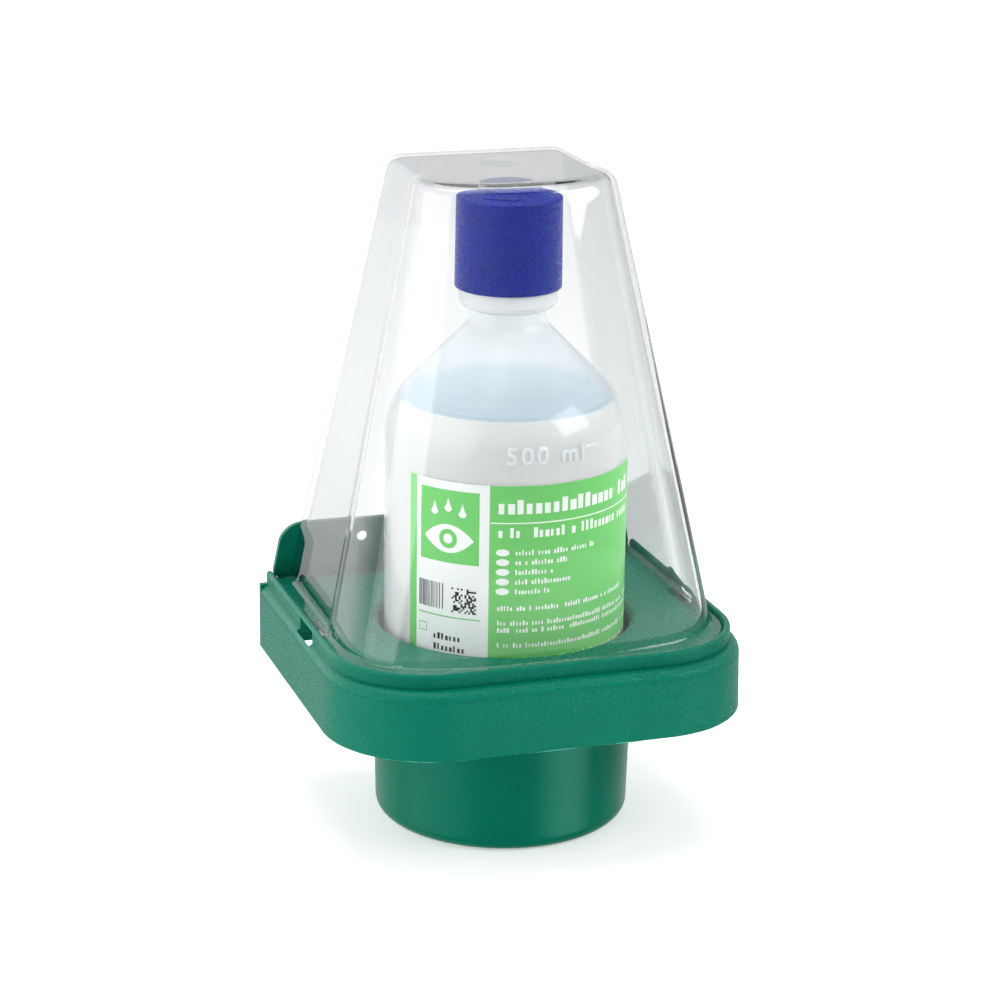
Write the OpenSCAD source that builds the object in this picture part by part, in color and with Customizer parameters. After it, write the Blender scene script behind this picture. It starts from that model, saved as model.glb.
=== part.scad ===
// Wall or bench eyewash station: a moulded base that holds one bottle of
// eyewash, under a clear cover that lifts off. Millimetres, +Z up, +Y to the
// wall. The origin is on the bottle's axis, on the underside of the cup.

/* [Bottle] */
// Outside radius of the bottle
bottle_r = 37; // [30:0.5:40]
// Height of the cylindrical part above the cup's floor
bottle_body_h = 119.5; // [100:0.5:130]
// Radius of the rounded shoulder
shoulder_r = 24; // [16:1:28]
// Slope of the shoulder's cone, measured from vertical
shoulder_angle = 45; // [35:1:50]
// Outside radius of the neck
neck_r = 11.7; // [10:0.1:14]
// Wall thickness of the bottle
bottle_wall = 0.9; // [0.6:0.1:1.5]
// Radius of the corner round the bottle's base
base_round = 6; // [4.5:0.5:10]
// Height of the liquid's surface above the cup's floor
fill_h = 133; // [90:0.5:135]

/* [Neck and seal] */
// Height of the plain neck between shoulder and collar
neck_h = 3.3; // [3:0.1:8]
// Outside radius of the collar that the cap stands on
collar_r = 15; // [14:0.1:15.5]
// Height of the collar
collar_h = 5.9; // [4:0.1:8]
// Outside radius of the neck inside the cap
finish_r = 12.4; // [11:0.1:12.6]
// Height of the neck inside the cap
finish_h = 15.5; // [12:0.5:16]
// Height of the outlet spout above the neck
spout_h = 5; // [3:0.5:6]
// Radius of the outlet spout at its tip
spout_r = 3.2; // [2.5:0.1:4]
// Radius of the drilled outlet in the spout
outlet_r = 1.2; // [0.8:0.1:1.6]
// Radius of the break-off seal's head
seal_r = 4.6; // [4:0.1:5.5]
// Height of the break-off seal
seal_h = 6; // [4:0.5:6.5]

/* [Cap] */
// Outside radius of the cap at its open end
cap_r = 16.15; // [15.8:0.05:18]
// Height of the cap's skirt
cap_skirt_h = 27.3; // [26:0.1:30]
// Rise of the domed top above the skirt
cap_dome = 4.1; // [3:0.1:5]
// Wall thickness of the cap
cap_wall = 1.6; // [1.2:0.1:2]
// Height of the raised rim on the dome
dome_rim_h = 0.5; // [0.3:0.1:0.8]
// Radius of the raised rim on the dome
dome_rim_r = 9.6; // [8:0.1:12]

/* [Label] */
// Height of the label
label_h = 74; // [50:1:100]
// Height of the label's top edge above the cup's floor
label_top = 114; // [80:1:118]
// Angle of the label's left edge from the front
label_start = -67.5; // [-90:0.5:-30]
// Angle that the label covers
label_sweep = 236; // [120:1:340]
// Thickness of the label film
label_t = 0.12; // [0.08:0.01:0.2]

/* [Base] */
// Half width of the tray's skirt at its lower edge
tray_half_w = 65.2; // [60:0.1:75]
// Distance from the bottle's axis to the front of the skirt
tray_front = 60.7; // [56:0.1:70]
// Distance from the bottle's axis to the wall
tray_back = 51.9; // [48:0.1:60]
// Height of the tray floor's top face
floor_z = 63.4; // [55:0.1:75]
// Depth of the skirt below the tray floor's top face
skirt_depth = 21.8; // [16:0.1:28]
// Radius of the skirt's front corners
skirt_corner_r = 33; // [20:0.5:40]
// Wall thickness of the tray
tray_wall = 2; // [1.6:0.1:2.4]
// Drop from the tray floor to the ledge outside the rim
ledge_drop = 1.4; // [1:0.1:1.8]
// Rounding of the skirt's upper edge
skirt_round = 3; // [2:0.1:3.5]
// Height of the rim above the tray floor
rim_h = 3; // [2.4:0.1:5]
// Width of the ledge beside the rim
ledge_side = 2.4; // [1.5:0.1:4]
// Width of the ledge in front of the rim
ledge_front = 5.3; // [4:0.1:8]
// Radius of the rim's front corners
rim_corner_r = 30; // [20:0.5:36]
// Clearance between bottle and cup at the bottle's base
bottle_clearance = 0.9; // [0.3:0.05:1]
// Wall thickness of the cup
cup_wall = 1.6; // [1:0.05:2]
// Gain of the cup's radius from its foot to its mouth
cup_draft = 1.3; // [0.5:0.1:2]
// Thickness of the cup's floor
cup_floor_t = 1.6; // [1.2:0.1:3]
// Rounding of the cup's foot
foot_round = 4.2; // [3:0.1:5]
// Rounding of the cup's mouth at the tray floor
mouth_round = 2; // [1.5:0.1:2]

/* [Back plate] */
// Height of the plate's upper edge above the tray floor
plate_rise = 18.1; // [14:0.1:26]
// Thickness of the plate
plate_t = 2; // [1.6:0.1:3]
// Half width of the plate just above the rim
plate_half_w = 60.3; // [54:0.1:62]
// Half width of the plate at its upper edge
plate_top_half_w = 57.2; // [50:0.1:60]
// Radius of the plate's upper corners
plate_corner_r = 8.5; // [5:0.5:12]
// Distance between the two screw holes
screw_spacing = 63.2; // [40:0.1:80]
// Height of the screw holes above the tray floor
screw_rise = 11.9; // [8:0.1:16]
// Radius of the screw holes
screw_hole_r = 1.7; // [1.5:0.05:2.6]
// Radius of the countersink at the plate's front face
countersink_r = 3.3; // [2.8:0.1:4.5]

/* [Cover] */
// Height of the cover above the tray floor
cover_h = 138.6; // [137:0.1:160]
// Wall thickness of the cover
cover_wall = 1.9; // [1.5:0.1:2.2]
// Half width of the cover's top at its back edge
cover_top_half_w = 29; // [24:0.5:40]
// Distance of the top's back edge behind the bottle's axis
cover_top_back = 36.8; // [32:0.1:42]
// Distance of the top's front edge before the bottle's axis
cover_top_front = 20.5; // [19:0.5:30]
// Forward bow of the front wall halfway up
front_bow = 3.3; // [3:0.1:6]
// Rounding between the top and the walls
cover_round = 3.8; // [2.5:0.1:5]
// Depth of the recess along each side panel
panel_recess = 1.7; // [1:0.1:2.5]
// Width of the foot flange, wall included
flange_w = 3.6; // [3:0.1:6]
// Thickness of the foot flange
flange_t = 1.8; // [1.5:0.1:2.4]
// Clearance between the foot flange and the tray's rim
flange_clearance = 0.5; // [0.3:0.1:1]
// Clearance between the foot flange and the back plate
plate_clearance = 0.5; // [0.3:0.1:1]
// Length of each side's latch window along Y
window_len = 14.3; // [10:0.1:18]
// Width of the slot through the tray floor at each window
window_w = 6.9; // [5:0.1:8]
// Thickness of the rim's lip over each window
lip_t = 0.9; // [0.6:0.1:1.2]
// Clearance between a latch tongue and its window
tongue_clearance = 0.5; // [0.3:0.1:1]

/* [Hidden] */
$fn = 96;

// Heights, from the foot upwards
cup_floor_z = cup_floor_t;
floor_under_z = floor_z - tray_wall;
ledge_z = floor_z - ledge_drop;
skirt_bottom_z = floor_z - skirt_depth;
rim_top_z = floor_z + rim_h;
plate_top_z = floor_z + plate_rise;
cover_top_z = floor_z + cover_h;

// Cup radii, outside, at the foot and under the tray floor
cup_foot_r = bottle_r + bottle_clearance + cup_wall - cup_draft * base_round / floor_under_z;
cup_mouth_r = cup_foot_r + cup_draft;
mouth_r = cup_mouth_r - cup_wall;

// Tray plan
skirt_draft = 0.5;
rim_half_w = tray_half_w - ledge_side;
rim_front = tray_front - ledge_front;
plate_face_y = tray_back - plate_t;
window_y0 = -6.8;

// Bottle heights
shoulder_z = cup_floor_z + bottle_body_h;
arc_end_r = bottle_r - shoulder_r * (1 - cos(shoulder_angle));
arc_end_z = shoulder_z + shoulder_r * sin(shoulder_angle);
neck_fillet = 3.5;
fillet_start_r = neck_r + neck_fillet * (1 - cos(shoulder_angle));
cone_end_z = arc_end_z + (arc_end_r - fillet_start_r) / tan(shoulder_angle);
neck_z = cone_end_z + neck_fillet * sin(shoulder_angle);
collar_z = neck_z + neck_h;
collar_top_z = collar_z + collar_h;
finish_top_z = collar_top_z + finish_h;
spout_top_z = finish_top_z + spout_h;
fill_z = cup_floor_z + fill_h;
label_top_z = cup_floor_z + label_top;

// Thread ridges on the neck, and the cap's bore that clears them
thread_rise = 0.6;
thread_half_h = 1.1;
thread_first = 4;
thread_pitch = 4.2;
thread_count = 3;
cap_bore_r = finish_r + thread_rise + 0.3;

// Cap heights
cap_gap = 0.1;
cap_z = collar_top_z + cap_gap;
cap_edge_z = cap_z + cap_skirt_h;
cap_top_z = cap_edge_z + cap_dome;
cap_top_r = cap_r - 0.25;
dome_r = (cap_top_r * cap_top_r + cap_dome * cap_dome) / (2 * cap_dome);
socket_clearance = 0.3;
socket_wall = 1.2;
seal_top_z = spout_top_z + seal_h;

// Cover plan at its foot and its top
flange_half_w = rim_half_w - tray_wall - flange_clearance;
flange_front = rim_front - tray_wall - flange_clearance;
flange_back = plate_face_y - plate_clearance;
cover_foot_half_w = flange_half_w - flange_w;
cover_foot_front = flange_front - flange_w;
cover_foot_back = flange_back - 0.6;
foot_flare = 0.6;
top_flare = 0.2;
step_foot_y = -3;
step_top_y = 5;
step_len = 8;
back_corner_r = 3;
wall_levels = 9;
round_levels = 5;
front_points = 12;

function mix(a, b, u) = a + (b - a) * u;

// Half of the cover's plan outline at height share u, from the back corner round to the front
function half_outline(u, inset) =
    let (
        half_w = mix(cover_foot_half_w, cover_top_half_w, u) - inset,
        back = mix(cover_foot_back, cover_top_back, u) - inset,
        step_w = half_w + mix(foot_flare, top_flare, u),
        step_y = mix(step_foot_y, step_top_y, u),
        front_w = step_w + panel_recess,
        front_y = step_y - step_len,
        front = mix(cover_foot_front, cover_top_front, u) + front_bow * 4 * u * (1 - u) - inset,
        front_d = front + front_y,
        power = 2 / mix(3.3, 2.3, u)
    )
    concat(
        [for (k = [0:3]) [half_w - back_corner_r * (1 - sin(30 * k)), back - back_corner_r * (1 - cos(30 * k))]],
        [for (k = [1:3]) [mix(half_w, step_w, k / 4), mix(back - back_corner_r, step_y, k / 4)]],
        [for (k = [0:4]) [step_w + panel_recess * (1 - cos(45 * k)) / 2, step_y - step_len * k / 4]],
        [for (k = [1:front_points - 1])
            let (t = 90 * k / front_points)
            [front_w * pow(cos(t), power), front_y - front_d * pow(sin(t), power)]],
        [[0, -front]]
    );

function full_outline(u, inset) =
    let (half = half_outline(u, inset), n = len(half))
    concat(half, [for (k = [n - 2:-1:0]) [-half[k][0], half[k][1]]]);

// Rings of the shell's skin: straight walls, then the rounded edge up to the flat top
function skin_rings(inset, round_r, top_z) =
    let (straight_top = top_z - round_r)
    concat(
        [for (k = [0:wall_levels - 1])
            let (z = mix(floor_z, straight_top, k / (wall_levels - 1)))
            [for (p = full_outline((z - floor_z) / cover_h, inset)) [p[0], p[1], z]]],
        [for (k = [1:round_levels])
            let (a = 90 * k / round_levels, z = straight_top + round_r * sin(a))
            [for (p = full_outline((z - floor_z) / cover_h, inset + round_r * (1 - cos(a)))) [p[0], p[1], z]]]
    );

module cover_skin(inset, round_r, top_z) {
    rings = skin_rings(inset, round_r, top_z);
    n = len(rings[0]);
    last = len(rings) - 1;
    points = [for (ring = rings) for (p = ring) p];
    sides = [for (i = [0:last - 1]) for (j = [0:n - 1])
        let (a = i * n + j, b = i * n + (j + 1) % n)
        each [[a, b, a + n], [b, b + n, a + n]]];
    front = (n - 1) / 2;
    lid = concat(
        [for (k = [0:front - 1]) [k, k + 1, n - 1 - k]],
        [for (k = [0:front - 2]) [k + 1, n - 2 - k, n - 1 - k]]
    );
    bottom = [for (t = lid) [t[2], t[1], t[0]]];
    top = [for (t = lid) [for (i = t) last * n + i]];
    polyhedron(points, concat(sides, bottom, top));
}

// Plan outline with a square back and two round front corners
module plan_outline(half_w, front, back, corner_r) {
    translate([-half_w, corner_r - front])
        square([2 * half_w, back + front - corner_r]);
    translate([corner_r - half_w, -front])
        square([2 * (half_w - corner_r), corner_r + 1]);
    for (side = [-1, 1])
        translate([side * (half_w - corner_r), corner_r - front])
            circle(corner_r);
}

// Runs a profile, X outwards and Y up, along the sides and front of a plan outline
module along_edge(half_w, front, back, corner_r) {
    translate([corner_r - half_w, -front, 0])
        rotate([90, 0, 90])
            linear_extrude(2 * (half_w - corner_r))
                mirror([1, 0])
                    children();
    for (side = [0, 1])
        mirror([side, 0, 0]) {
            translate([half_w - corner_r, corner_r - front, 0])
                rotate([0, 0, -90])
                    rotate_extrude(angle = 90)
                        translate([corner_r, 0])
                            children();
            translate([half_w, back, 0])
                rotate([90, 0, 0])
                    linear_extrude(back + front - corner_r)
                        children();
        }
}

// Skirt wall, its rounded upper edge and the ledge, from the outline inwards
module skirt_profile() {
    top_out = skirt_draft;
    difference() {
        polygon([
            [0, skirt_bottom_z],
            [-top_out, ledge_z],
            [-ledge_front - tray_wall, ledge_z],
            [-ledge_front - tray_wall, ledge_z - tray_wall],
            [-top_out - tray_wall, ledge_z - tray_wall],
            [-tray_wall, skirt_bottom_z]
        ]);
        difference() {
            translate([-top_out - skirt_round, ledge_z - skirt_round])
                square(skirt_round + 1);
            translate([-top_out - skirt_round, ledge_z - skirt_round])
                circle(skirt_round);
        }
    }
}

// Rim wall with a rounded upper edge
module rim_profile() {
    edge = tray_wall / 2;
    translate([-tray_wall, ledge_z - tray_wall])
        square([tray_wall, rim_top_z - edge - ledge_z + tray_wall]);
    translate([-edge, rim_top_z - edge])
        circle(edge);
}

// Slot through the floor and the rim's base at each side, left open under the rim's lip
module latch_windows() {
    for (side = [0, 1])
        mirror([side, 0, 0])
            translate([rim_half_w + 1.1 - window_w, window_y0, floor_under_z - tray_wall])
                cube([window_w, window_len, rim_top_z - lip_t - floor_under_z + tray_wall]);
}

module base_tray() {
    color([0.02, 0.46, 0.37])
        difference() {
            union() {
                along_edge(tray_half_w, tray_front, plate_face_y, skirt_corner_r)
                    skirt_profile();
                along_edge(rim_half_w, rim_front, plate_face_y, rim_corner_r)
                    rim_profile();
                translate([0, 0, floor_under_z])
                    linear_extrude(tray_wall)
                        plan_outline(rim_half_w - tray_wall / 2, rim_front - tray_wall / 2, plate_face_y,
                            rim_corner_r - tray_wall / 2);
            }
            translate([0, 0, floor_under_z - 1])
                cylinder(r = mouth_r, h = tray_wall + 2);
            rotate_extrude()
                difference() {
                    translate([mouth_r - 1, floor_z - mouth_round])
                        square([mouth_round + 1, mouth_round + 1]);
                    translate([mouth_r + mouth_round, floor_z - mouth_round])
                        circle(mouth_round);
                }
            latch_windows();
        }
}

// Cup wall, tapering to a rounded foot, open at the tray floor
module bottle_cup() {
    inner_foot_r = cup_foot_r - cup_wall;
    color([0.02, 0.44, 0.35])
        rotate_extrude()
            difference() {
                union() {
                    polygon([
                        [0, 0], [cup_foot_r - foot_round, 0], [cup_foot_r, foot_round],
                        [cup_mouth_r, floor_under_z], [0, floor_under_z]
                    ]);
                    intersection() {
                        translate([cup_foot_r - foot_round, foot_round])
                            circle(foot_round);
                        square([cup_foot_r, foot_round]);
                    }
                }
                polygon([
                    [0, cup_floor_z], [inner_foot_r - foot_round, cup_floor_z],
                    [inner_foot_r - foot_round / 3, cup_floor_z + foot_round / 3],
                    [inner_foot_r, cup_floor_z + foot_round],
                    [mouth_r, floor_under_z + 0.01], [0, floor_under_z + 0.01]
                ]);
            }
}

module back_plate() {
    shoulder_h = rim_top_z;
    corner_shift = (plate_half_w - plate_top_half_w) * plate_corner_r / (plate_top_z - shoulder_h);
    color([0.02, 0.46, 0.37])
        difference() {
            translate([0, tray_back, 0])
                rotate([90, 0, 0])
                    linear_extrude(plate_t) {
                        translate([-tray_half_w + skirt_draft, skirt_bottom_z])
                            square([2 * (tray_half_w - skirt_draft), ledge_z - skirt_bottom_z]);
                        difference() {
                            polygon([
                                [-plate_half_w, ledge_z - 1], [plate_half_w, ledge_z - 1],
                                [plate_half_w, shoulder_h], [plate_top_half_w, plate_top_z],
                                [-plate_top_half_w, plate_top_z], [-plate_half_w, shoulder_h]
                            ]);
                            for (side = [-1, 1])
                                scale([side, 1])
                                    difference() {
                                        translate([plate_top_half_w - plate_corner_r, plate_top_z - plate_corner_r])
                                            square(plate_corner_r + 4);
                                        translate([plate_top_half_w - plate_corner_r + corner_shift,
                                                plate_top_z - plate_corner_r])
                                            circle(plate_corner_r);
                                    }
                        }
                    }
            for (side = [-1, 1])
                translate([side * screw_spacing / 2, tray_back, floor_z + screw_rise])
                    rotate([90, 0, 0]) {
                        translate([0, 0, -1])
                            cylinder(r = screw_hole_r, h = plate_t + 2);
                        translate([0, 0, plate_t - (countersink_r - screw_hole_r) * 0.6])
                            cylinder(r1 = screw_hole_r, r2 = countersink_r,
                                h = (countersink_r - screw_hole_r) * 0.6 + 0.01);
                    }
        }
}

module clear_cover() {
    tongue_w = 2.4;
    color([0.93, 0.94, 0.95, 0.4]) {
        difference() {
            union() {
                cover_skin(0, cover_round, cover_top_z);
                translate([0, 0, floor_z])
                    linear_extrude(flange_t)
                        plan_outline(flange_half_w, flange_front, flange_back, rim_corner_r - tray_wall
                            - flange_clearance);
            }
            translate([0, 0, -0.01])
                cover_skin(cover_wall, cover_round - cover_wall, cover_top_z - cover_wall);
        }
        for (side = [0, 1])
            mirror([side, 0, 0])
                translate([flange_half_w - tongue_w, window_y0 + tongue_clearance, floor_under_z])
                    cube([tongue_w, window_len - 2 * tongue_clearance, tray_wall + flange_t / 2]);
    }
}

// Bottle's outline as a half section, moved inwards by the given wall
module bottle_section(wall) {
    r = bottle_r - wall;
    z0 = cup_floor_z + wall;
    base = base_round - wall;
    outer_arc = shoulder_r - wall;
    steps = 12;
    polygon(concat(
        [[0, z0]],
        [for (k = [0:steps])
            let (a = 90 * k / steps)
            [r - base + base * sin(a), z0 + base - base * cos(a)]],
        [for (k = [0:steps])
            let (a = shoulder_angle * k / steps)
            [r - outer_arc + outer_arc * cos(a), shoulder_z + outer_arc * sin(a)]],
        [for (k = [0:steps])
            let (a = shoulder_angle * (1 - k / steps), f = neck_fillet + wall)
            [neck_r - wall + f * (1 - cos(a)), neck_z - f * sin(a)]],
        [[neck_r - wall, collar_z + 1], [0, collar_z + 1]]
    ));
}

// Neck above the shoulder: plain neck, collar, threaded finish and spout
module neck_section() {
    collar_round = 2.4;
    square_z = collar_z + collar_round;
    translate([0, neck_z])
        square([neck_r, collar_z - neck_z + 1]);
    translate([0, square_z])
        square([collar_r, collar_top_z - square_z]);
    translate([0, collar_z])
        square([collar_r - collar_round, collar_h]);
    translate([collar_r - collar_round, square_z])
        circle(collar_round);
    translate([0, collar_top_z])
        square([finish_r, finish_h]);
    for (k = [0:thread_count - 1])
        translate([0, collar_top_z + thread_first + k * thread_pitch - thread_half_h])
            polygon([
                [0, 0], [finish_r, 0], [finish_r + thread_rise, thread_half_h * 0.7],
                [finish_r + thread_rise, thread_half_h * 1.3], [finish_r, thread_half_h * 2],
                [0, thread_half_h * 2]
            ]);
    polygon([[0, finish_top_z], [spout_r + 2.4, finish_top_z], [spout_r, spout_top_z], [0, spout_top_z]]);
}

module bottle_shell() {
    bore_r = neck_r - bottle_wall - 0.6;
    color([0.93, 0.95, 0.96, 0.6])
        rotate_extrude()
            intersection() {
                difference() {
                    union() {
                        bottle_section(0);
                        neck_section();
                    }
                    bottle_section(bottle_wall);
                    translate([0, collar_z])
                        square([bore_r, finish_top_z - 1.6 - collar_z]);
                    translate([0, collar_z])
                        square([outlet_r, spout_top_z - collar_z + 1]);
                }
                square([bottle_r + 1, spout_top_z]);
            }
}

module eyewash_solution() {
    color([0.86, 0.91, 0.93, 0.7])
        rotate_extrude()
            intersection() {
                bottle_section(bottle_wall);
                square([bottle_r, fill_z]);
            }
}

module bottle_label() {
    color([0.48, 0.83, 0.5])
        rotate([0, 0, label_start - 90])
            translate([0, 0, label_top_z - label_h])
                rotate_extrude(angle = label_sweep)
                    translate([bottle_r, 0])
                        square([label_t, label_h]);
}

// Hermetic plug over the outlet, with the thin web that breaks when the cap turns
module break_off_seal() {
    web_h = 0.8;
    color([0.92, 0.94, 0.95])
        rotate_extrude()
            translate([0, spout_top_z])
                polygon([
                    [0, 0], [spout_r - 0.8, 0], [spout_r - 0.8, web_h], [seal_r, web_h + 1],
                    [seal_r, seal_h - 0.6], [seal_r - 0.6, seal_h], [0, seal_h]
                ]);
}

module screw_cap() {
    socket_r = seal_r + socket_clearance;
    ceiling_z = cap_edge_z - 1;
    edge = 0.5;
    dome_z = cap_top_z - dome_r;
    color([0.13, 0.22, 0.57])
        rotate_extrude()
            difference() {
                union() {
                    polygon([
                        [0, cap_z], [cap_r, cap_z], [cap_top_r, cap_edge_z - edge],
                        [cap_top_r - edge, cap_edge_z], [0, cap_edge_z]
                    ]);
                    intersection() {
                        translate([0, dome_z])
                            circle(dome_r, $fn = 360);
                        translate([0, cap_edge_z - 0.01])
                            square([cap_top_r - edge, cap_dome]);
                    }
                    translate([dome_rim_r, cap_top_z - dome_r * (1 - cos(asin(dome_rim_r / dome_r)))])
                        circle(dome_rim_h);
                }
                translate([0, cap_z - 1])
                    square([cap_bore_r, ceiling_z - cap_z - cap_wall]);
                translate([0, cap_z - 1])
                    square([socket_r, seal_top_z + socket_clearance - cap_z + 1]);
            }
}

base_tray();
bottle_cup();
back_plate();
clear_cover();
bottle_shell();
eyewash_solution();
bottle_label();
break_off_seal();
screw_cap();
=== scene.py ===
"""An eyewash station: a green moulded base, a 500 ml bottle of eyewash and a clear lift-off cover."""

import math

import bmesh
import bpy
from mathutils import Matrix, Vector


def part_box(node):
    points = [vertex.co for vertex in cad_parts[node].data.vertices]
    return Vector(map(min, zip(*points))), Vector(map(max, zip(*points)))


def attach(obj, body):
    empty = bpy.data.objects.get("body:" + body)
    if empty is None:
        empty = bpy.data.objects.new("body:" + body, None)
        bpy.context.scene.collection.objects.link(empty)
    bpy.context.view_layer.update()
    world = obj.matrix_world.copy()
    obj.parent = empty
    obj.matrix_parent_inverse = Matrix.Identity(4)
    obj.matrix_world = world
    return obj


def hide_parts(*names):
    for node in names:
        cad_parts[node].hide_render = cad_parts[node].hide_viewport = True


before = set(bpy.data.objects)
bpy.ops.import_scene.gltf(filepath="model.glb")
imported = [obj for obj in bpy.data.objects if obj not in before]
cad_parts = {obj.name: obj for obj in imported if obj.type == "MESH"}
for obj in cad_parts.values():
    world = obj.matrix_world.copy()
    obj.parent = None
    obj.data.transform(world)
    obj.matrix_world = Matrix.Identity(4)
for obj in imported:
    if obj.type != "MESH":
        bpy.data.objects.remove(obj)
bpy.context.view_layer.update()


# ---- Studio ----------------------------------------------------------------------------------
# White paper that runs into a white backdrop, with a soft box at each side and one above. The
# room behind the camera is darker, which gives the green front its depth.

scene = bpy.context.scene
scene.view_settings.view_transform = "Standard"
scene.view_settings.look = "None"


def linear(hex_colour):
    """An sRGB hex value as the linear colour that a shader takes."""
    parts = [int(hex_colour[i : i + 2], 16) / 255 for i in (1, 3, 5)]
    return [c / 12.92 if c <= 0.04045 else ((c + 0.055) / 1.055) ** 2.4 for c in parts] + [1.0]


def add_node(tree, kind, inputs=None, **settings):
    """A node of that kind, with its settings, and its inputs set to values or linked to sockets."""
    node = tree.nodes.new(kind)
    for name, value in settings.items():
        setattr(node, name, value)
    for name, value in (inputs or {}).items():
        socket = node.inputs[name]
        if isinstance(value, bpy.types.NodeSocket):
            tree.links.new(value, socket)
        else:
            socket.default_value = value
    return node


def ramp(tree, value, start, end, low=0.0, high=1.0, **settings):
    """A socket that runs from low to high as the value goes from start to end."""
    return add_node(tree, "ShaderNodeMapRange", {
        "Value": value, "From Min": start, "From Max": end, "To Min": low, "To Max": high},
        **settings).outputs["Result"]


def new_material(name):
    """An empty material and its tree, with the output node already in it."""
    material = bpy.data.materials.new(name)
    material.use_nodes = True
    tree = material.node_tree
    tree.nodes.clear()
    return material, tree, add_node(tree, "ShaderNodeOutputMaterial")


camera_data = bpy.data.cameras.new("camera")
camera_data.lens = 109.2
camera_data.sensor_width = 36
camera_data.clip_start = 0.05
camera = bpy.data.objects.new("camera", camera_data)
scene.collection.objects.link(camera)
scene.camera = camera
camera_place = Vector((-0.27866, -0.83090, 0.37365))
azimuth, elevation, roll = (math.radians(angle) for angle in (-18.34, 17.26, 0.82))
back = Vector((math.sin(azimuth) * math.cos(elevation), -math.cos(azimuth) * math.cos(elevation),
               math.sin(elevation)))
level_right = (-back).cross(Vector((0, 0, 1))).normalized()
level_up = level_right.cross(-back)
right = level_right * math.cos(roll) + level_up * math.sin(roll)
up = level_up * math.cos(roll) - level_right * math.sin(roll)
turn = Matrix((right, up, back)).transposed().to_4x4()
camera.matrix_world = Matrix.Translation(camera_place) @ turn

world = bpy.data.worlds.new("studio")
scene.world = world
world.use_nodes = True
room = world.node_tree
room.nodes.clear()
direction = add_node(room, "ShaderNodeTexCoord").outputs["Generated"]
heading = add_node(room, "ShaderNodeSeparateXYZ", {"Vector": direction}).outputs
# Level and above: a bright wall behind the object, brightest towards a window at its left.
wall = ramp(room, heading["Y"], -0.2, 0.6, 0.25, 1.25)
window = ramp(room, heading["X"], -0.5, 0.5, 1.25, 0.45)
high_glare = add_node(room, "ShaderNodeMath", {0: wall, 1: window}, operation="MULTIPLY").outputs["Value"]
# Below: a dim wall and two bright cards, each so many degrees from the front. They make the
# streaks on the cup, the skirt and the cap.
low_glare = ramp(room, heading["Y"], -0.2, 0.6, 0.05, 0.5)
for aim, faint, full, brightness in ((42, 0.80, 0.94, 3.6), (-78, 0.70, 0.92, 1.2)):
    card_place = (math.sin(math.radians(aim)), -math.cos(math.radians(aim)), 0)
    nearness = add_node(room, "ShaderNodeVectorMath", {
        0: direction, 1: card_place}, operation="DOT_PRODUCT").outputs["Value"]
    low_glare = add_node(room, "ShaderNodeMath", {
        0: low_glare, 1: ramp(room, nearness, faint, full, 0.0, brightness)},
        operation="ADD").outputs["Value"]
strength = add_node(room, "ShaderNodeMix", {
    0: ramp(room, heading["Z"], -0.25, -0.15), 2: low_glare, 3: high_glare}, data_type="FLOAT")
# Only light that has bounced meets the room. Seen straight on or through, the backdrop is white.
ray = add_node(room, "ShaderNodeLightPath").outputs
bounced = add_node(room, "ShaderNodeMath", {
    0: ray["Glossy Depth"], 1: ray["Diffuse Depth"]}, operation="ADD", use_clamp=True)
backdrop = add_node(room, "ShaderNodeMix", {
    0: bounced.outputs["Value"], 2: 1.0, 3: strength.outputs[0]}, data_type="FLOAT")
glow = add_node(room, "ShaderNodeBackground", {
    "Color": linear("#FFFFFF"), "Strength": backdrop.outputs[0]})
room.links.new(glow.outputs["Background"],
               add_node(room, "ShaderNodeOutputWorld").inputs["Surface"])


def soft_box(name, size, place, power):
    """A rectangular area light of that size in metres, aimed at the middle of the object."""
    light = bpy.data.lights.new(name, "AREA")
    light.shape = "RECTANGLE"
    light.size, light.size_y = size
    light.energy = power
    lamp = bpy.data.objects.new(name, light)
    lamp.location = place
    lamp.rotation_euler = (middle - Vector(place)).to_track_quat("-Z", "Y").to_euler()
    scene.collection.objects.link(lamp)


middle = Vector((0, 0, 0.1))
soft_box("soft_box_left", (1.3, 1.0), (-1.17, -0.31, 0.52), 7.5)
soft_box("soft_box_right", (0.7, 0.6), (0.86, -0.58, 0.78), 8)
soft_box("soft_box_top", (0.8, 0.8), (0, 0.1, 1.1), 5.5)

half_table = 4
corners = [(x * half_table, y * half_table, 0) for x, y in ((-1, -1), (1, -1), (1, 1), (-1, 1))]
table_mesh = bpy.data.meshes.new("table")
table_mesh.from_pydata(corners, [], [(0, 1, 2, 3)])
table = bpy.data.objects.new("table", table_mesh)
scene.collection.objects.link(table)
paper, tree, surface = new_material("white studio paper")
place = add_node(tree, "ShaderNodeTexCoord").outputs["Object"]
away = add_node(tree, "ShaderNodeVectorMath", {0: place}, operation="LENGTH").outputs["Value"]
shader = add_node(tree, "ShaderNodeBsdfPrincipled", {
    "Base Color": linear("#FBFBFB"), "Roughness": 0.9, "Specular IOR Level": 0.1,
    "Emission Color": linear("#FFFFFF"), "Emission Strength": ramp(tree, away, 0.2, 1.2, 0.38, 0.48)})
tree.links.new(shader.outputs["BSDF"], surface.inputs["Surface"])
table_mesh.materials.append(paper)
table.visible_glossy = False


# ---- Base: tray, cup and back plate ----------------------------------------------------------
# One injection moulding in green polypropylene. The mould is spark eroded, which leaves a fine
# grain; its bright points are glossy pits plus painted glints in the colour. The cup is smoother.
# A little flash stands along the skirt, painted pale green as a highlight.

MM = 0.001
grain_mm = 0.6


def noise(tree, place, patch_mm, detail=2.0, **more):
    """A smooth random field with patches of that size, as a socket."""
    return add_node(tree, "ShaderNodeTexNoise", {
        "Vector": place, "Scale": 1 / (patch_mm * MM), "Detail": detail, **more}).outputs["Fac"]


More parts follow.
